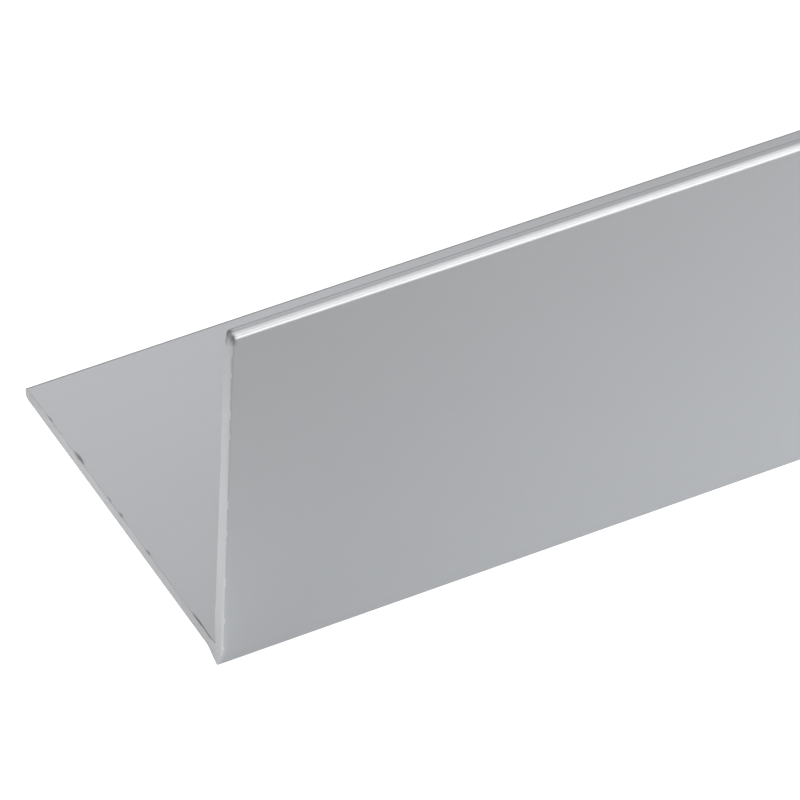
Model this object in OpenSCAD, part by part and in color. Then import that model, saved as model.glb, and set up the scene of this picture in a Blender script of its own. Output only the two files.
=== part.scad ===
// Equal-leg aluminium angle profile: one extruded L section, sawn square to length.
// The bar lies on its flat leg with the other leg upright. X runs along the bar,
// Y from the heel to the toe of the flat leg, and Z up. The origin is on the floor,
// under the middle of the flat leg.

/* [Section] */
// Width of the flat leg over the outside, heel to toe
flat_leg = 30; // [15:0.5:60]
// Height of the upright leg over the outside, heel to toe
upright_leg = 30; // [15:0.5:60]
// Thickness of both legs
wall = 1; // [0.8:0.1:3]

/* [Edges] */
// Radius on the outside of the heel, where the legs meet
heel_radius = 0.2; // [0.1:0.05:0.6]
// Radius of the fillet in the root, inside the corner
root_radius = 0.3; // [0.1:0.05:2]
// Radius on the outer edge of each toe, up to a part of the wall
toe_outer_radius = 0.5; // [0.1:0.05:1.5]
// Radius on the inner edge of each toe, up to what the outer one leaves of the wall
toe_inner_radius = 0.4; // [0.1:0.05:1.5]

/* [Length] */
// Length of the bar as sold
bar_length = 1000; // [200:10:3000]

/* [Hidden] */
$fn = 64;
// Largest part of the wall that the outer rounding of a toe may take
outer_share = 0.6;
// Least part of the wall that stays flat between the two roundings of a toe
flat_share = 0.05;
outer_rounding = min(toe_outer_radius, outer_share * wall);
inner_rounding = min(toe_inner_radius, (1 - flat_share) * wall - outer_rounding);
// How far a rounding cut or fillet runs past the faces that it meets
overrun = wall / 2;

// The material between a square corner at the origin and the arc that rounds it,
// carried past both sides of the corner so that it cuts or fills cleanly.
module corner_piece(radius) {
    difference() {
        translate([-overrun, -overrun]) square(radius + overrun);
        translate([radius, radius]) circle(r = radius);
    }
}

// Both legs with square edges, the heel at the origin.
module square_legs() {
    square([flat_leg, wall]);
    square([wall, upright_leg]);
}

// What the rounded edges of one toe take off, with the toe's outer edge at the
// origin, the leg running along -X and its wall standing on the X axis.
module toe_rounding() {
    mirror([1, 0]) corner_piece(outer_rounding);
    translate([0, wall]) rotate(180) corner_piece(inner_rounding);
}

// The L section: X is across the flat leg and Y is up the upright leg.
module section() {
    difference() {
        union() {
            square_legs();
            translate([wall, wall]) corner_piece(root_radius);
        }
        corner_piece(heel_radius);
        translate([flat_leg, 0]) toe_rounding();
        translate([0, upright_leg]) mirror([1, -1]) toe_rounding();
    }
}

// The bar, centred along its length and across its flat leg.
module angle_profile() {
    color("silver")
        translate([-bar_length / 2, -flat_leg / 2, 0])
            rotate([90, 0, 90])
                linear_extrude(bar_length) section();
}

angle_profile();
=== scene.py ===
"""A sawn bar of equal-leg aluminium angle with a satin finish, lying on a pale studio floor."""

import logging
import math
from dataclasses import dataclass, field
from enum import Enum

import bmesh
import bpy
from mathutils import Matrix, Vector, noise


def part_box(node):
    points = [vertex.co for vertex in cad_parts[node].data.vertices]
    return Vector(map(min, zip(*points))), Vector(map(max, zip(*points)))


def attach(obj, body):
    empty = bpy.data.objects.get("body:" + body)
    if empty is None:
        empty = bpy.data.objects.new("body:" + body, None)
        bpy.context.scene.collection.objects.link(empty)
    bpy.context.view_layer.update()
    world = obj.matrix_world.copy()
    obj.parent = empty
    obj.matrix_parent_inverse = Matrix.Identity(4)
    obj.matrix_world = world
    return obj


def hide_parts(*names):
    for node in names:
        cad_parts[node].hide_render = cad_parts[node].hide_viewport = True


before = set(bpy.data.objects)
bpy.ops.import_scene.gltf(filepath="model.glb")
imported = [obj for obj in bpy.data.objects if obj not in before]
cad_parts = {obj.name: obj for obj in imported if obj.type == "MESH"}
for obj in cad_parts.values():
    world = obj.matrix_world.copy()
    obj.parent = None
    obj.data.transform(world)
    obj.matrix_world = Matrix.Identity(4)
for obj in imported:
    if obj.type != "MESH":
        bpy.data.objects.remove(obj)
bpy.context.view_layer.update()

MM = 0.001
NODE = "angle_profile"
BODY = "root"
PIECE = "angle_bar"
FLOOR = "floor"
CAMERA = "camera"
# Mesh value that darkens the nicks: partly dirt, partly painted shade and painted dark reflection of the
# broken edges.
NICK_DIRT_AND_SHADE = "nick_dirt_and_shade"

# Points nearer than SNAP count as one, and a cut takes in any point nearer than CUT_SNAP.
SNAP = 1e-3 * MM
CUT_SNAP = SNAP / 10

Colour = tuple[float, float, float, float]
Tint = tuple[float, float, float]
WHITE: Tint = (1.0, 1.0, 1.0)
WARM: Tint = (1.0, 0.985, 0.945)
COOL: Tint = (0.965, 0.985, 1.05)

log = logging.getLogger(PIECE)


class Leg(Enum):
    """The two legs of the section."""

    FLAT = "flat"
    UPRIGHT = "upright"


class Side(Enum):
    """The two faces of a leg: outside the angle, or inside it."""

    OUTER = "outer"
    INNER = "inner"


class BarEnd(Enum):
    """The two sawn ends, by the way along X that each one faces."""

    NEAR = -1
    FAR = 1


class Lit(Enum):
    """What a light shines on."""

    ALL = "all"
    BAR = "bar"
    FLOOR = "floor"


class Skin(Enum):
    """The finishes on the bar, by their material slot."""

    SATIN = 0
    SAWN = 1


@dataclass(frozen=True)
class Place:
    """Where a point lies on the section.

    Attributes:
        leg: the leg that the point is on.
        along: distance from the outside of the heel along that leg.
        across: distance from the outer face of that leg.
        side: the face of the leg that is nearer.
    """

    leg: Leg
    along: float
    across: float
    side: Side


@dataclass(frozen=True)
class Nick:
    """A spot where the sawn edge of a leg is broken away, painted dark: partly dirt, partly painted shade
    and painted dark reflection.

    Attributes:
        leg: the leg that it is on.
        side: the face of the leg whose sawn edge is broken.
        along: distance of its middle from the heel.
        length: its length along the edge.
        depth: how far the edge is broken away at its middle.
        dirt_and_shade: how dark it is painted, for dirt and painted shade, from 0 to 1.
        shade_spill: the share of that darkening that lies on the cut face too.
        sharpness: how sharply that darkening stops in front and behind.
    """

    leg: Leg
    side: Side
    along: float
    length: float
    depth: float
    dirt_and_shade: float
    shade_spill: float = 0.0
    sharpness: int = 4

    def share(self, place: Place) -> float:
        """Works out how much of the nick a point takes.

        Args:
            place: where the point lies on the section.

        Returns:
            1 at the middle of the nick, falling to 0 at its two ends.
        """
        if place.leg is not self.leg or place.side is not self.side:
            return 0.0
        reach = abs(place.along - self.along) / (self.length / 2)
        return max(0.0, 1.0 - reach * reach)

    def dirt_and_shade_at(self, place: Place, depth: float) -> float:
        """Works out how dark a point is painted, for dirt and painted shade.

        Args:
            place: where the point lies on the section.
            depth: how far the point lies behind the cut.

        Returns:
            That darkening, from 0 to 1.
        """
        if depth >= self.depth:
            return 0.0
        off_middle = 2.0 * depth / self.depth - 1.0
        shade_mark = max(self.shade_spill, 1.0 - off_middle**self.sharpness)
        return self.dirt_and_shade * self.share(place) * shade_mark


class Nodes:
    """A shader node tree with short calls that add and join its nodes."""

    def __init__(self, tree: bpy.types.NodeTree) -> None:
        """Keeps the tree and empties it."""
        self.tree = tree
        tree.nodes.clear()

    def add(self, kind: str, values: dict[str, object] | None = None, **settings: object) -> bpy.types.Node:
        """Adds one node.

        Args:
            kind: the node's type name.
            values: a number, a colour or a socket to join, for each named input.
            settings: values of the node's own properties.

        Returns:
            The new node.
        """
        node = self.tree.nodes.new(kind)
        for name, value in settings.items():
            setattr(node, name, value)
        for name, value in (values or {}).items():
            self.feed(node.inputs[name], value)
        return node

    def feed(self, socket: bpy.types.NodeSocket, value: object) -> None:
        """Sets an input to a plain value, or joins it to another node's output.

        Args:
            socket: the input.
            value: a number, a colour, or the output to join.
        """
        if isinstance(value, bpy.types.NodeSocket):
            self.tree.links.new(value, socket)
        else:
            socket.default_value = value

    def math(self, operation: str, *values: object) -> bpy.types.NodeSocket:
        """Adds a Math node.

        Args:
            operation: the node's operation.
            values: its numbers in order, each a plain one or a socket.

        Returns:
            The node's result.
        """
        node = self.add("ShaderNodeMath", operation=operation)
        for socket, value in zip(node.inputs, values):
            self.feed(socket, value)
        return node.outputs[0]

    def spread(self, value: bpy.types.NodeSocket, low: float, high: float) -> bpy.types.NodeSocket:
        """Spreads a value of 0 to 1 over a range.

        Args:
            value: the socket that gives the value.
            low: the result at 0.
            high: the result at 1.

        Returns:
            The socket with the result.
        """
        node = self.add("ShaderNodeMapRange", {"Value": value, "To Min": low, "To Max": high})
        return node.outputs["Result"]

    def blend(self, share: bpy.types.NodeSocket, first: object, second: object) -> bpy.types.NodeSocket:
        """Mixes two colours.

        Args:
            share: the socket that gives the second colour's share.
            first: a colour, or a socket.
            second: a colour, or a socket.

        Returns:
            The socket with the mixed colour.
        """
        node = self.add("ShaderNodeMix", data_type="RGBA")
        for name, value in (("Factor_Float", share), ("A_Color", first), ("B_Color", second)):
            socket = next(s for s in node.inputs if s.identifier == name)
            self.feed(socket, value)
        return next(s for s in node.outputs if s.identifier == "Result_Color")


class MetalGrain:
    """Node group: lines, clouds and fine grain of worked metal, each as a value of 0 to 1."""

    NAME = "metal_grain"
    LINE_DETAIL = 3.0
    CLOUD_DETAIL = 2.0
    GRAIN_DETAIL = 1.0

    @classmethod
    def group(cls) -> bpy.types.NodeTree:
        """Returns the group, built on the first call."""
        return bpy.data.node_groups.get(cls.NAME) or cls._build()

    @classmethod
    def _build(cls) -> bpy.types.NodeTree:
        """Builds the group.

        Returns:
            The group, with Vector, Line Run, Line Gap, Cloud Size and Grain Size going in,
            and Lines, Cloud and Grain coming out.
        """
        tree = bpy.data.node_groups.new(cls.NAME, "ShaderNodeTree")
        nodes = Nodes(tree)
        tree.interface.new_socket("Vector", in_out="INPUT", socket_type="NodeSocketVector")
        for name in ("Line Run", "Line Gap", "Cloud Size", "Grain Size"):
            tree.interface.new_socket(name, in_out="INPUT", socket_type="NodeSocketFloat")
        for name in ("Lines", "Cloud", "Grain"):
            tree.interface.new_socket(name, in_out="OUTPUT", socket_type="NodeSocketFloat")
        given = nodes.add("NodeGroupInput").outputs
        gap = given["Line Gap"]
        stretch = nodes.add("ShaderNodeCombineXYZ", {"X": given["Line Run"], "Y": gap, "Z": gap})
        result = nodes.add("NodeGroupOutput")
        sizes = {
            "Lines": (stretch.outputs["Vector"], cls.LINE_DETAIL),
            "Cloud": (given["Cloud Size"], cls.CLOUD_DETAIL),
            "Grain": (given["Grain Size"], cls.GRAIN_DETAIL),
        }
        for name, (size, detail) in sizes.items():
            scaled = nodes.add("ShaderNodeVectorMath", operation="DIVIDE")
            nodes.feed(scaled.inputs[0], given["Vector"])
            nodes.feed(scaled.inputs[1], size)
            pattern = nodes.add(
                "ShaderNodeTexNoise",
                {"Vector": scaled.outputs["Vector"], "Scale": 1.0, "Detail": detail},
            )
            nodes.feed(result.inputs[name], pattern.outputs["Fac"])
        return tree


class DirtAndShadeMask:
    """Node group: the dark paint at the sawn edges' nicks, partly dirt and partly painted shade and painted
    dark reflection, as a mask.
    """

    NAME = "nick_dirt_and_shade_mask"
    SPECK = 0.25 * MM
    SPECK_DETAIL = 2.0
    THINNEST = 0.6
    THICKEST = 1.4

    @classmethod
    def group(cls) -> bpy.types.NodeTree:
        """Returns the group, built on the first call."""
        return bpy.data.node_groups.get(cls.NAME) or cls._build()

    @classmethod
    def _build(cls) -> bpy.types.NodeTree:
        """Builds the group.

        Returns:
            The group, with Vector going in and Mask coming out.
        """
        tree = bpy.data.node_groups.new(cls.NAME, "ShaderNodeTree")
        nodes = Nodes(tree)
        tree.interface.new_socket("Vector", in_out="INPUT", socket_type="NodeSocketVector")
        tree.interface.new_socket("Mask", in_out="OUTPUT", socket_type="NodeSocketFloat")
        given = nodes.add("NodeGroupInput").outputs
        # Reads how dark the nicks are painted, for dirt and painted shade.
        shade_mark = nodes.add("ShaderNodeAttribute", attribute_name=NICK_DIRT_AND_SHADE).outputs["Fac"]
        specks = nodes.add(
            "ShaderNodeTexNoise",
            {"Vector": given["Vector"], "Scale": 1.0 / cls.SPECK, "Detail": cls.SPECK_DETAIL},
        )
        broken = nodes.spread(specks.outputs["Fac"], cls.THINNEST, cls.THICKEST)
        result = nodes.add("NodeGroupOutput")
        nodes.feed(result.inputs["Mask"], nodes.math("MULTIPLY", shade_mark, broken))
        return tree


@dataclass(frozen=True)
class MetalFinish:
    """A bare or anodised aluminium surface.

    Attributes:
        name: the material's name.
        dark: the colour in its darker patches.
        light: the colour in its lighter patches.
        dirt_and_shade: the colour of residue on it.
        metal: how far it reflects as bare metal, the rest being scattered by its skin.
        smoothest: its lowest roughness.
        roughest: its highest roughness.
        line_run: length of its die lines or saw lines.
        line_gap: distance from one such line to the next.
        line_turn: angles that turn the lines from the run of the bar, about X, Y and Z.
        line_depth: depth of the lines.
        cloud_size: size of its soft patches.
        grain_size: size of its fine grain.
        line_share: how much of its change of colour follows the lines, the rest being the soft patches'.
    """

    name: str
    dark: Colour
    light: Colour
    # dirt_and_shade: the colour painted into the nicks, for dirt and painted shade.
    dirt_and_shade: Colour
    metal: float
    smoothest: float
    roughest: float
    line_run: float
    line_gap: float
    line_turn: tuple[float, float, float]
    line_depth: float
    cloud_size: float
    grain_size: float
    line_share: float = 0.4

    def material(self) -> bpy.types.Material:
        """Builds the material.

        Returns:
            The new material.
        """
        made = bpy.data.materials.new(self.name)
        made.use_nodes = True
        nodes = Nodes(made.node_tree)
        place = nodes.add("ShaderNodeTexCoord").outputs["Object"]
        grain = self._grain(nodes, place)
        shade_spill = nodes.add("ShaderNodeGroup", node_tree=DirtAndShadeMask.group())
        nodes.feed(shade_spill.inputs["Vector"], place)
        clouds = nodes.math("MULTIPLY", grain["Cloud"], 1.0 - self.line_share)
        patches = nodes.math("MULTIPLY_ADD", grain["Lines"], self.line_share, clouds)
        skin = nodes.blend(patches, self.dark, self.light)
        # Darkens the skin where the nicks are marked: partly dirt, partly painted shade and painted dark
        # reflection.
        darkened_skin = nodes.blend(shade_spill.outputs["Mask"], skin, self.dirt_and_shade)
        sheen = nodes.spread(grain["Grain"], self.smoothest, self.roughest)
        relief = nodes.add(
            "ShaderNodeBump",
            {"Strength": 1.0, "Distance": self.line_depth, "Height": grain["Lines"]},
        )
        metal = nodes.add(
            "ShaderNodeBsdfPrincipled",
            {
                "Base Color": darkened_skin,
                "Metallic": self.metal,
                "Roughness": sheen,
                "Normal": relief.outputs["Normal"],
            },
        )
        output = nodes.add("ShaderNodeOutputMaterial")
        nodes.feed(output.inputs["Surface"], metal.outputs["BSDF"])
        return made

    def _grain(self, nodes: Nodes, place: bpy.types.NodeSocket) -> bpy.types.NodeOutputs:
        """Adds the metal's grain at this finish's own sizes.

        Args:
            nodes: the material's nodes.
            place: the socket that gives a point's place on the bar.

        Returns:
            The outputs Lines, Cloud and Grain.
        """
        turned = nodes.add("ShaderNodeMapping", {"Vector": place, "Rotation": self.line_turn})
        grain = nodes.add("ShaderNodeGroup", node_tree=MetalGrain.group())
        sizes = {
            "Vector": turned.outputs["Vector"],
            "Line Run": self.line_run,
            "Line Gap": self.line_gap,
            "Cloud Size": self.cloud_size,
            "Grain Size": self.grain_size,
        }
        for name, value in sizes.items():
            nodes.feed(grain.inputs[name], value)
        return grain.outputs


SATIN = MetalFinish(
    name="satin_aluminium",
    dark=(0.575, 0.592, 0.612, 1.0),
    light=(0.605, 0.620, 0.640, 1.0),
    # Dark colour painted into the nicks, for dirt and painted shade.
    dirt_and_shade=(0.16, 0.16, 0.165, 1.0),
    metal=0.8,
    smoothest=0.34,
    roughest=0.40,
    line_run=90 * MM,
    line_gap=0.35 * MM,
    line_turn=(0.0, 0.0, 0.0),
    line_depth=0.0008 * MM,
    cloud_size=25 * MM,
    grain_size=0.12 * MM,
)
SAWN = MetalFinish(
    name="sawn_aluminium",
    dark=(0.83, 0.837, 0.848, 1.0),
    light=(0.88, 0.887, 0.898, 1.0),
    # Dark colour painted into the nicks, for dirt and painted shade.
    dirt_and_shade=(0.18, 0.18, 0.185, 1.0),
    metal=0.8,
    smoothest=0.45,
    roughest=0.60,
    line_run=6 * MM,
    line_gap=0.16 * MM,
    line_turn=(math.radians(38), 0.0, math.radians(90)),
    line_depth=0.0025 * MM,
    cloud_size=3 * MM,
    grain_size=0.1 * MM,
)


@dataclass
class SawnEnd:
    """One sawn end of the bar, with its rubbed edges, nicks and burrs.

    Attributes:
        end: which end of the bar it is.
        nicks: the spots where its edge is broken away.
        outer_rub: how far the sawn edge of the upright's outer face is rubbed down.
        under_rub: the same under the flat leg.
        inner_rub: the same on the inner faces.
        tip_rub: the same round the tip of the upright leg.
        tip_reach: how far below the tip that begins to grow.
        unevenness: how much the rubbing-down varies, as a share of itself.
        unevenness_run: length along the edge over which it varies.
        unevenness_pick: number that picks the pattern in which it varies.
        lip: how far the saw's burr stands out from the inner face of the upright leg.
        lip_start: height above the root over which that burr grows.
        lip_reach: height above the floor at which it ends.
        lip_fade: how far along the bar it goes.
        burr: how far the burr under the heel stands out from the cut.
        burr_reach: how far along the flat leg that burr goes.
        burr_rise: how far up the cut it goes.
        burr_fade: how far along the bar its swelling goes.
        rows: distances from the cut at which the faces are divided.
        fade_row: distance from the cut where the fine division ends.
        flat_cuts: number of cuts along each flat face of a leg.
        rim: width of the ring inside the edge of the cut face.
        cut_lines: distances from the heel at which the cut face is divided, along both legs.
    """

    end: BarEnd
    nicks: tuple[Nick, ...] = ()
    outer_rub: float = 0.27 * MM
    under_rub: float = 0.03 * MM
    inner_rub: float = 0.012 * MM
    tip_rub: float = 0.37 * MM
    tip_reach: float = 1.5 * MM
    unevenness: float = 0.35
    unevenness_run: float = 0.9 * MM
    unevenness_pick: float = 7.0
    lip: float = 0.22 * MM
    lip_start: float = 1.5 * MM
    lip_reach: float = 20 * MM
    lip_fade: float = 0.3 * MM
    burr: float = 0.36 * MM
    burr_reach: float = 2.2 * MM
    burr_rise: float = 1.0 * MM
    burr_fade: float = 0.5 * MM
    rows: tuple[float, ...] = tuple(row * MM for row in (0.02, 0.05, 0.09, 0.14, 0.2, 0.27, 0.35, 0.5, 1.2))
    fade_row: float = 14 * MM
    flat_cuts: int = 190
    rim: float = 0.04 * MM
    cut_lines: tuple[float, ...] = tuple(
        line * MM for line in (0.3, 0.65, 1.35, 2, 3, 5, 8, 11, 14, 17, 20, 23, 26, 28, 28.6, 29.1)
    )

    def work(self, bm: bmesh.types.BMesh, bar: "AngleBar") -> None:
        """Divides this end of the bar finely and gives it its sawn edge.

        Args:
            bm: the bar's mesh.
            bar: the bar that the end belongs to.
        """
        self._divide(bm, bar)
        cut = next(f for f in bm.faces if all(self.depth(bar, v.co) < SNAP for v in f.verts))
        self._rub_edges(bm, bar)
        bmesh.ops.inset_region(bm, faces=[cut], thickness=self.rim, use_boundary=True, use_even_offset=True)
        self._divide_cut(bm, bar, cut)
        self._mark_dirt_and_shade(bm, bar)
        self._raise_burr(bm, bar)

    def depth(self, bar: "AngleBar", point: Vector) -> float:
        """Returns how far a point lies behind this end's cut."""
        return (bar.end_x(self.end) - point.x) * self.end.value

    def worked(self, bm: bmesh.types.BMesh, bar: "AngleBar") -> list[bmesh.types.BMVert]:
        """Lists the vertices in this end's finely divided rows."""
        return [v for v in bm.verts if self.depth(bar, v.co) < self.rows[-1] - SNAP]

    def _divide(self, bm: bmesh.types.BMesh, bar: "AngleBar") -> None:
        """Cuts the rows across the bar, then the flats between them.

        Args:
            bm: the bar's mesh.
            bar: the bar that the end belongs to.
        """
        for row in (*self.rows, self.fade_row):
            bar.cut_across(bm, bar.end_x(self.end) - self.end.value * row)
        flats = [
            edge
            for edge in bm.edges
            if edge.calc_length() > bar.wall
            and all(self.depth(bar, v.co) < self.rows[-1] + SNAP for v in edge.verts)
        ]
        bmesh.ops.subdivide_edges(bm, edges=flats, cuts=self.flat_cuts, use_single_edge=True)

    def _rub_edges(self, bm: bmesh.types.BMesh, bar: "AngleBar") -> None:
        """Rounds the sawn edge over, breaks the nicks out of it and raises the burr inside the upright leg.

        Args:
            bm: the bar's mesh.
            bar: the bar that the end belongs to.
        """
        bm.normal_update()
        for vert in self.worked(bm, bar):
            radius = self.rub_radius(bar, vert.co)
            short = max(0.0, radius - max(0.0, self.depth(bar, vert.co)))
            sunk = radius - math.sqrt(radius * radius - short * short)
            outward = Vector((0.0, vert.normal.y, vert.normal.z)).normalized()
            vert.co += outward * (self.lip_height(bar, vert.co) - sunk)

    def _divide_cut(self, bm: bmesh.types.BMesh, bar: "AngleBar", cut: bmesh.types.BMFace) -> None:
        """Divides the cut face across and along both legs.

        Args:
            bm: the bar's mesh.
            bar: the bar that the end belongs to.
            cut: the face of the saw cut.
        """
        faces = [cut]
        for distance in self.cut_lines:
            for way in (Vector((0.0, 1.0, 0.0)), Vector((0.0, 0.0, 1.0))):
                edges = dict.fromkeys(edge for face in faces for edge in face.edges)
                verts = dict.fromkeys(vert for face in faces for vert in face.verts)
                parts = bmesh.ops.bisect_plane(
                    bm,
                    geom=[*faces, *edges, *verts],
                    dist=CUT_SNAP,
                    plane_co=bar.low + way * distance,
                    plane_no=way,
                )["geom"]
                faces = [part for part in parts if isinstance(part, bmesh.types.BMFace)]

    def rub_radius(self, bar: "AngleBar", point: Vector) -> float:
        """Works out how far the sawn edge is rubbed down at a point.

        Args:
            bar: the bar that the end belongs to.
            point: a point near the cut.

        Returns:
            The radius of the rubbed edge there.
        """
        place = bar.place(point)
        usual = self.inner_rub
        if place.side is Side.OUTER:
            usual = self.under_rub if place.leg is Leg.FLAT else self.outer_rub
        radius = usual * self.uneven(bar, place) * (1.0 - self.burr_share(bar, point))
        below_tip = bar.high.z - point.z
        radius += (self.tip_rub - radius) * max(0.0, 1.0 - below_tip / self.tip_reach)
        nicked = (nick.depth * nick.share(place) for nick in self.nicks)
        return max(radius, SNAP, *nicked)

    def uneven(self, bar: "AngleBar", place: Place) -> float:
        """Works out how unevenly the edge is worked at a place.

        Args:
            bar: the bar that the end belongs to.
            place: where the point lies on the section.

        Returns:
            1 for the usual amount, and more or less than that elsewhere.
        """
        pick = self.unevenness_pick * self.end.value
        spot = Vector((place.along / self.unevenness_run, place.across / bar.wall, pick))
        return 1.0 + self.unevenness * noise.noise(spot)

    def lip_height(self, bar: "AngleBar", point: Vector) -> float:
        """Works out how far the saw's burr stands out at a point.

        Args:
            bar: the bar that the end belongs to.
            point: a point near the cut.

        Returns:
            The height of the burr over the inner face of the upright leg.
        """
        place = bar.place(point)
        if place.leg is Leg.FLAT or place.side is Side.OUTER:
            return 0.0
        above_root = place.along - bar.wall - bar.root_radius
        grown = min(1.0, max(0.0, above_root / self.lip_start))
        left = max(0.0, 1.0 - place.along / self.lip_reach)
        kept = max(0.0, 1.0 - max(0.0, self.depth(bar, point)) / self.lip_fade)
        return self.lip * self.uneven(bar, place) * grown * left * kept

    def burr_share(self, bar: "AngleBar", point: Vector) -> float:
        """Returns how much of the heel burr a point takes, from 0 to 1."""
        offset = point - bar.low
        return max(0.0, 1.0 - offset.y / self.burr_reach) * max(0.0, 1.0 - offset.z / self.burr_rise)

    def _raise_burr(self, bm: bmesh.types.BMesh, bar: "AngleBar") -> None:
        """Pushes the burr at the heel out past the cut.

        Args:
            bm: the bar's mesh.
            bar: the bar that the end belongs to.
        """
        for vert in self.worked(bm, bar):
            kept = max(0.0, 1.0 - max(0.0, self.depth(bar, vert.co)) / self.burr_fade)
            swell = self.burr * self.burr_share(bar, vert.co) * kept
            vert.co.x += self.end.value * swell

    def _mark_dirt_and_shade(self, bm: bmesh.types.BMesh, bar: "AngleBar") -> None:
        """Marks how dark the nicks are painted, for dirt and for painted shade and painted dark reflection.

        Args:
            bm: the bar's mesh.
            bar: the bar that the end belongs to.
        """
        shade_mark = bm.verts.layers.float.get(NICK_DIRT_AND_SHADE) or bm.verts.layers.float.new(NICK_DIRT_AND_SHADE)
        for vert in self.worked(bm, bar):
            place = bar.place(vert.co)
            depth = max(0.0, self.depth(bar, vert.co))
            vert[shade_mark] = max(nick.dirt_and_shade_at(place, depth) for nick in self.nicks)


# Each nick is painted dark, partly for dirt and partly as painted shade and painted dark reflection of its
# broken edge; the two at the tip of the upright paint the dark reflection round the rubbed tip.
NEAR_NICKS = (
    Nick(Leg.FLAT, Side.INNER, along=26.2 * MM, length=0.8 * MM, depth=0.16 * MM, dirt_and_shade=0.10),
    Nick(Leg.FLAT, Side.INNER, along=21.7 * MM, length=1.6 * MM, depth=0.25 * MM, dirt_and_shade=0.35),
    Nick(Leg.FLAT, Side.INNER, along=17.0 * MM, length=0.7 * MM, depth=0.13 * MM, dirt_and_shade=0.10),
    Nick(Leg.FLAT, Side.INNER, along=15.3 * MM, length=0.6 * MM, depth=0.18 * MM, dirt_and_shade=0.35),
    Nick(Leg.FLAT, Side.INNER, along=11.1 * MM, length=0.7 * MM, depth=0.14 * MM, dirt_and_shade=0.32),
    Nick(Leg.FLAT, Side.INNER, along=3.5 * MM, length=2.2 * MM, depth=0.14 * MM, dirt_and_shade=0.55),
    Nick(Leg.FLAT, Side.INNER, along=2.15 * MM, length=1.7 * MM, depth=0.09 * MM, dirt_and_shade=0.50),
    Nick(Leg.UPRIGHT, Side.INNER, along=29.6 * MM, length=1.8 * MM, depth=0.37 * MM, dirt_and_shade=0.50, shade_spill=0.8),
    Nick(Leg.UPRIGHT, Side.OUTER, along=29.6 * MM, length=1.0 * MM, depth=0.37 * MM, dirt_and_shade=0.45, shade_spill=0.5),
)
# The far end's nicks are painted dark the same way, for dirt and painted shade.
FAR_NICKS = (
    Nick(Leg.FLAT, Side.INNER, along=8.5 * MM, length=1.4 * MM, depth=0.24 * MM, dirt_and_shade=0.5),
    Nick(Leg.FLAT, Side.INNER, along=19.0 * MM, length=0.8 * MM, depth=0.18 * MM, dirt_and_shade=0.35),
    Nick(Leg.UPRIGHT, Side.INNER, along=23.0 * MM, length=1.1 * MM, depth=0.22 * MM, dirt_and_shade=0.4),
)


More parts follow.
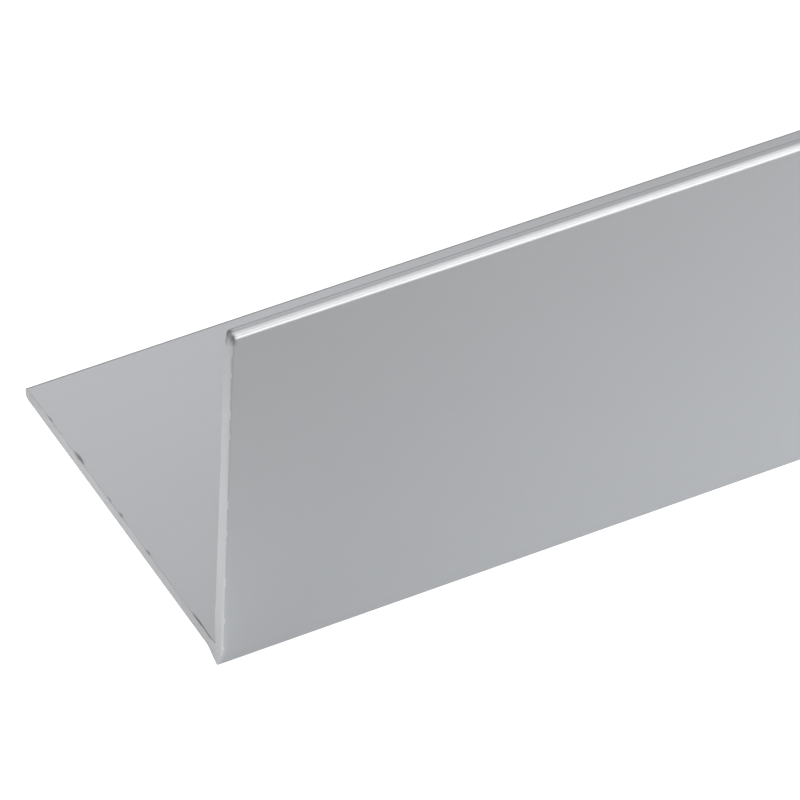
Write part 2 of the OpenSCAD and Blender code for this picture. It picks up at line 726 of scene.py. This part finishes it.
@dataclass
class AngleBar:
    """The bar: an L section with rounded edges, extruded and sawn at both ends.

    Attributes:
        low: lowest corner of the bar.
        high: highest corner of the bar.
        wall: thickness of both legs.
        heel_radius: radius outside the heel.
        root_radius: radius of the fillet inside the corner.
        toe_outer_radius: radius on the outer edge of each toe.
        toe_inner_radius: radius on the inner edge of each toe.
        arc_segments: number of faces round each of those radii.
        spans: number of lengths that the bar is divided into.
        flat_from: how squarely a face looks along one axis, up to 1, when it counts as flat.
        sawn_from: how squarely a face looks along the bar, up to 1, when the saw has bared it.
        ends: the two sawn ends.
    """

    low: Vector
    high: Vector
    wall: float = 1.0 * MM
    heel_radius: float = 0.2 * MM
    root_radius: float = 0.3 * MM
    toe_outer_radius: float = 0.5 * MM
    toe_inner_radius: float = 0.4 * MM
    arc_segments: int = 14
    spans: int = 12
    flat_from: float = 0.99999
    sawn_from: float = 0.6
    ends: tuple[SawnEnd, ...] = field(
        default_factory=lambda: (SawnEnd(BarEnd.NEAR, NEAR_NICKS), SawnEnd(BarEnd.FAR, FAR_NICKS))
    )

    def end_x(self, end: BarEnd) -> float:
        """Returns where an end's cut lies along X."""
        return self.low.x if end is BarEnd.NEAR else self.high.x

    def place(self, point: Vector) -> Place:
        """Works out where a point lies on the section.

        Args:
            point: a point on the bar.

        Returns:
            Its leg, its distance from the heel and from the leg's outer face, and the nearer side.
        """
        wide, tall = point.y - self.low.y, point.z - self.low.z
        leg = Leg.FLAT if wide >= tall else Leg.UPRIGHT
        across = min(wide, tall)
        side = Side.OUTER if across < self.wall / 2 else Side.INNER
        return Place(leg, max(wide, tall), across, side)

    def corners(self) -> list[tuple[float, float, float]]:
        """Lists the corners of the square-edged section in order.

        Returns:
            The Y and Z of each corner, with the radius that rounds it.
        """
        inside_y, inside_z = self.low.y + self.wall, self.low.z + self.wall
        return [
            (self.low.y, self.low.z, self.heel_radius),
            (self.high.y, self.low.z, self.toe_outer_radius),
            (self.high.y, inside_z, self.toe_inner_radius),
            (inside_y, inside_z, self.root_radius),
            (inside_y, self.high.z, self.toe_inner_radius),
            (self.low.y, self.high.z, self.toe_outer_radius),
        ]

    def build(self) -> bpy.types.Object:
        """Models the bar and dresses it.

        Returns:
            The bar's object, linked to the scene.
        """
        bm = bmesh.new()
        self._extrude(bm)
        self._round_edges(bm)
        self._divide(bm)
        for end in self.ends:
            end.work(bm, self)
        self._shade(bm)
        mesh = bpy.data.meshes.new(PIECE)
        bm.to_mesh(mesh)
        bm.free()
        for finish in (SATIN, SAWN):
            mesh.materials.append(finish.material())
        piece = bpy.data.objects.new(PIECE, mesh)
        bpy.context.scene.collection.objects.link(piece)
        return piece

    def cut_across(self, bm: bmesh.types.BMesh, x: float) -> None:
        """Cuts a ring of edges across the bar.

        Args:
            bm: the bar's mesh.
            x: where the ring lies along the bar.
        """
        bmesh.ops.bisect_plane(
            bm,
            geom=[*bm.verts, *bm.edges, *bm.faces],
            dist=CUT_SNAP,
            plane_co=(x, 0.0, 0.0),
            plane_no=(1.0, 0.0, 0.0),
        )

    def _extrude(self, bm: bmesh.types.BMesh) -> None:
        """Draws the square-edged section at the near end and extrudes it along the bar.

        Args:
            bm: the bar's empty mesh.
        """
        section = bm.faces.new([bm.verts.new((self.low.x, y, z)) for y, z, _ in self.corners()])
        drawn = bmesh.ops.extrude_face_region(bm, geom=[section])["geom"]
        verts = [part for part in drawn if isinstance(part, bmesh.types.BMVert)]
        bmesh.ops.translate(bm, verts=verts, vec=(self.high.x - self.low.x, 0.0, 0.0))
        bmesh.ops.recalc_face_normals(bm, faces=bm.faces[:])

    def _round_edges(self, bm: bmesh.types.BMesh) -> None:
        """Rounds each long edge by its own radius.

        Args:
            bm: the bar's mesh.
        """
        for y, z, radius in self.corners():
            sharp = [
                edge
                for edge in bm.edges
                if all(math.hypot(v.co.y - y, v.co.z - z) < SNAP for v in edge.verts)
            ]
            bmesh.ops.bevel(
                bm,
                geom=sharp,
                offset=radius,
                offset_type="OFFSET",
                segments=self.arc_segments,
                profile=0.5,
                affect="EDGES",
                clamp_overlap=False,
                material=-1,
            )

    def _divide(self, bm: bmesh.types.BMesh) -> None:
        """Divides the bar into equal lengths.

        Args:
            bm: the bar's mesh.
        """
        length = self.high.x - self.low.x
        for index in range(1, self.spans):
            self.cut_across(bm, self.low.x + length * index / self.spans)

    def _shade(self, bm: bmesh.types.BMesh) -> None:
        """Shades the flats flat and the rest smooth, and marks the faces that the saw has bared.

        Args:
            bm: the bar's mesh.
        """
        bm.normal_update()
        for face in bm.faces:
            face.smooth = max(abs(part) for part in face.normal) < self.flat_from
            sawn = abs(face.normal.x) > self.sawn_from
            face.material_index = (Skin.SAWN if sawn else Skin.SATIN).value


@dataclass(frozen=True)
class SoftBox:
    """A long soft light that hangs beside the bar and runs along it.

    Attributes:
        name: the light's name.
        start: where it begins along the bar, from the near end.
        finish: where it ends along the bar, from the near end.
        rise: its angle round the bar in degrees; 0 is level in front, 90 overhead, 180 level behind.
        distance: how far it hangs from the heel.
        width: its width across.
        glow: its brightness, with a white sheet in even light as 1.
        lit: what it shines on.
        tint: its colour.
    """

    name: str
    start: float
    finish: float
    rise: float
    distance: float
    width: float
    glow: float
    lit: Lit = Lit.ALL
    tint: Tint = WHITE

    def place(self, heel: Vector, shone: dict[Lit, bpy.types.Collection]) -> bpy.types.Object:
        """Makes the light and turns it to the bar.

        Args:
            heel: the outer corner of the heel at the bar's near end.
            shone: the collection of what a light may be kept to.

        Returns:
            The light's object.
        """
        data = bpy.data.lights.new(self.name, "AREA")
        data.shape = "RECTANGLE"
        data.size, data.size_y = self.finish - self.start, self.width
        data.energy = self.glow * math.pi * data.size * data.size_y
        data.color = self.tint
        light = bpy.data.objects.new(self.name, data)
        angle = math.radians(self.rise)
        way = Vector((0.0, -math.cos(angle), math.sin(angle)))
        along = Vector(((self.start + self.finish) / 2, 0.0, 0.0))
        light.location = heel + along + way * self.distance
        light.rotation_euler = (math.pi / 2 - angle, 0.0, 0.0)
        light.visible_camera = False
        light.light_linking.receiver_collection = shone.get(self.lit)
        bpy.context.scene.collection.objects.link(light)
        return light


# The first two light all of the scene. The next three show in the flat leg and on the top edge.
# The washes brighten strips of floor that the outer face and the sawn ends mirror.
LIGHTS = (
    SoftBox("key", start=0.03, finish=1.1, rise=17, distance=0.30, width=0.12, glow=3.0, tint=WARM),
    SoftBox("front", start=0.03, finish=1.1, rise=55, distance=0.30, width=0.14, glow=1.9, tint=WARM),
    SoftBox("overhead", start=-0.3, finish=1.3, rise=92, distance=0.60, width=0.35, glow=1.0, lit=Lit.BAR),
    SoftBox("back", start=0.0, finish=1.1, rise=140, distance=0.17, width=0.08, glow=0.42, lit=Lit.BAR),
    SoftBox(
        "near_back",
        start=0.0,
        finish=0.09,
        rise=140,
        distance=0.168,
        width=0.08,
        glow=0.31,
        lit=Lit.BAR,
    ),
    SoftBox(
        "right_wash",
        start=0.03,
        finish=1.05,
        rise=80,
        distance=0.055,
        width=0.02,
        glow=1.85,
        lit=Lit.FLOOR,
        tint=COOL,
    ),
    SoftBox(
        "low_wash",
        start=-0.05,
        finish=1.05,
        rise=80,
        distance=0.036,
        width=0.01,
        glow=2.2,
        lit=Lit.FLOOR,
        tint=COOL,
    ),
    SoftBox(
        "near_end_wash",
        start=-0.03,
        finish=-0.002,
        rise=130,
        distance=0.04,
        width=0.02,
        glow=6.5,
        lit=Lit.FLOOR,
    ),
    SoftBox(
        "far_end_wash",
        start=1.002,
        finish=1.03,
        rise=130,
        distance=0.04,
        width=0.02,
        glow=6.5,
        lit=Lit.FLOOR,
    ),
)


@dataclass(frozen=True)
class PaleFloor:
    """The plain matt floor of the studio.

    Attributes:
        size: length of its side.
        seen: its tone as the camera sees it.
        mirrored: its calmer tone in the bar's reflections and in bounced light.
        lift: the brightness that the camera sees on it without any light.
    """

    size: float = 60.0
    seen: Colour = (0.95, 0.95, 0.95, 1.0)
    mirrored: Colour = (0.62, 0.62, 0.62, 1.0)
    lift: float = 0.65

    def lay(self) -> bpy.types.Object:
        """Lays the floor as part of the stage.

        Returns:
            The floor's object.
        """
        bm = bmesh.new()
        bmesh.ops.create_grid(bm, x_segments=1, y_segments=1, size=self.size / 2)
        mesh = bpy.data.meshes.new(FLOOR)
        bm.to_mesh(mesh)
        bm.free()
        mesh.materials.append(self.material())
        floor = bpy.data.objects.new(FLOOR, mesh)
        bpy.context.scene.collection.objects.link(floor)
        return floor

    def material(self) -> bpy.types.Material:
        """Builds the floor's matt paint.

        Returns:
            The new material.
        """
        made = bpy.data.materials.new("pale_floor")
        made.use_nodes = True
        nodes = Nodes(made.node_tree)
        looked_at = nodes.add("ShaderNodeLightPath").outputs["Is Camera Ray"]
        tone = nodes.blend(looked_at, self.mirrored, self.seen)
        matt = nodes.add("ShaderNodeBsdfDiffuse", {"Color": tone})
        glow = nodes.add(
            "ShaderNodeEmission",
            {"Color": self.seen, "Strength": nodes.math("MULTIPLY", looked_at, self.lift)},
        )
        paint = nodes.add("ShaderNodeAddShader")
        nodes.feed(paint.inputs[0], matt.outputs["BSDF"])
        nodes.feed(paint.inputs[1], glow.outputs["Emission"])
        output = nodes.add("ShaderNodeOutputMaterial")
        nodes.feed(output.inputs["Surface"], paint.outputs["Shader"])
        made.cycles.emission_sampling = "NONE"
        return made


@dataclass(frozen=True)
class Viewpoint:
    """The camera, set by where it sees the outer corner of the heel at the near end.

    Attributes:
        azimuth: its direction round the bar, in degrees; 0 is in front, 90 to the right.
        elevation: its height above the floor, in degrees.
        roll: its turn about its own axis, in degrees.
        depth: distance of the heel corner along the line of sight.
        focal: focal length in pixels.
        heel_pixel: where the heel corner shows, from the picture's top left.
        frame_pixels: side of the square picture in pixels.
        sensor: width of the camera's sensor in millimetres.
        nearest: the nearest distance at which it sees anything.
    """

    azimuth: float = -30.440
    elevation: float = 42.592
    roll: float = 2.837
    depth: float = 514.2 * MM
    focal: float = 7568.5
    heel_pixel: tuple[float, float] = (222.0, 664.74)
    frame_pixels: float = 800.0
    sensor: float = 36.0
    nearest: float = 10 * MM

    def place(self, heel: Vector) -> bpy.types.Object:
        """Makes the camera and gives it to the scene.

        Args:
            heel: the outer corner of the heel at the near end.

        Returns:
            The camera's object.
        """
        data = bpy.data.cameras.new(CAMERA)
        data.sensor_width = self.sensor
        data.lens = self.focal / self.frame_pixels * self.sensor
        data.clip_start = self.nearest
        turn, rise = math.radians(self.azimuth), math.radians(self.elevation)
        reach = math.cos(rise)
        back = Vector((math.sin(turn) * reach, -math.cos(turn) * reach, math.sin(rise)))
        level = Vector((math.cos(turn), math.sin(turn), 0.0))
        lean = Matrix.Rotation(math.radians(self.roll), 3, back)
        right, up = lean @ level, lean @ back.cross(level)
        middle = self.frame_pixels / 2
        aside = (self.heel_pixel[0] - middle) / self.focal * self.depth
        above = (middle - self.heel_pixel[1]) / self.focal * self.depth
        eye = heel - aside * right - above * up + self.depth * back
        camera = bpy.data.objects.new(CAMERA, data)
        camera.matrix_world = Matrix.Translation(eye) @ Matrix((right, up, back)).transposed().to_4x4()
        bpy.context.scene.collection.objects.link(camera)
        bpy.context.scene.camera = camera
        return camera


@dataclass
class Studio:
    """The plain pale floor, the soft light and the camera round the bar.

    Attributes:
        heel: the outer corner of the heel at the bar's near end.
        piece: the bar.
        sky: brightness of the even light from all round.
        floor: the floor that the bar lies on.
        lights: the soft lights.
        viewpoint: the camera.
    """

    heel: Vector
    piece: bpy.types.Object
    sky: float = 0.3
    floor: PaleFloor = PaleFloor()
    lights: tuple[SoftBox, ...] = LIGHTS
    viewpoint: Viewpoint = Viewpoint()

    def build(self) -> None:
        """Builds the floor, the lights and the camera."""
        shone = {Lit.BAR: self.kept_to(self.piece), Lit.FLOOR: self.kept_to(self.floor.lay())}
        self._light_sky()
        for light in self.lights:
            light.place(self.heel, shone)
            log.info("light %s placed", light.name)
        self.viewpoint.place(self.heel)
        view = bpy.context.scene.view_settings
        view.view_transform = "Standard"

    def kept_to(self, thing: bpy.types.Object) -> bpy.types.Collection:
        """Makes a collection of one thing, to keep a light to it.

        Args:
            thing: the one thing to be lit.

        Returns:
            The collection, outside the scene's own.
        """
        only = bpy.data.collections.new(f"only_{thing.name}")
        only.objects.link(thing)
        return only

    def _light_sky(self) -> None:
        """Gives the scene its even light."""
        world = bpy.data.worlds.new("studio")
        world.use_nodes = True
        nodes = Nodes(world.node_tree)
        glow = nodes.add("ShaderNodeBackground", {"Color": (*WHITE, 1.0), "Strength": self.sky})
        output = nodes.add("ShaderNodeOutputWorld")
        nodes.feed(output.inputs["Surface"], glow.outputs["Background"])
        bpy.context.scene.world = world


def main() -> None:
    """Builds the bar and its studio, and reports each piece."""
    logging.basicConfig(level=logging.INFO, format="%(name)s: %(message)s")
    low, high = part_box(NODE)
    bar = AngleBar(low, high)
    piece = bar.build()
    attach(piece, BODY)
    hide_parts(NODE)
    log.info("%s built with %d faces", piece.name, len(piece.data.polygons))
    Studio(low, piece).build()
    bpy.context.view_layer.update()


if __name__ == "__main__":
    main()
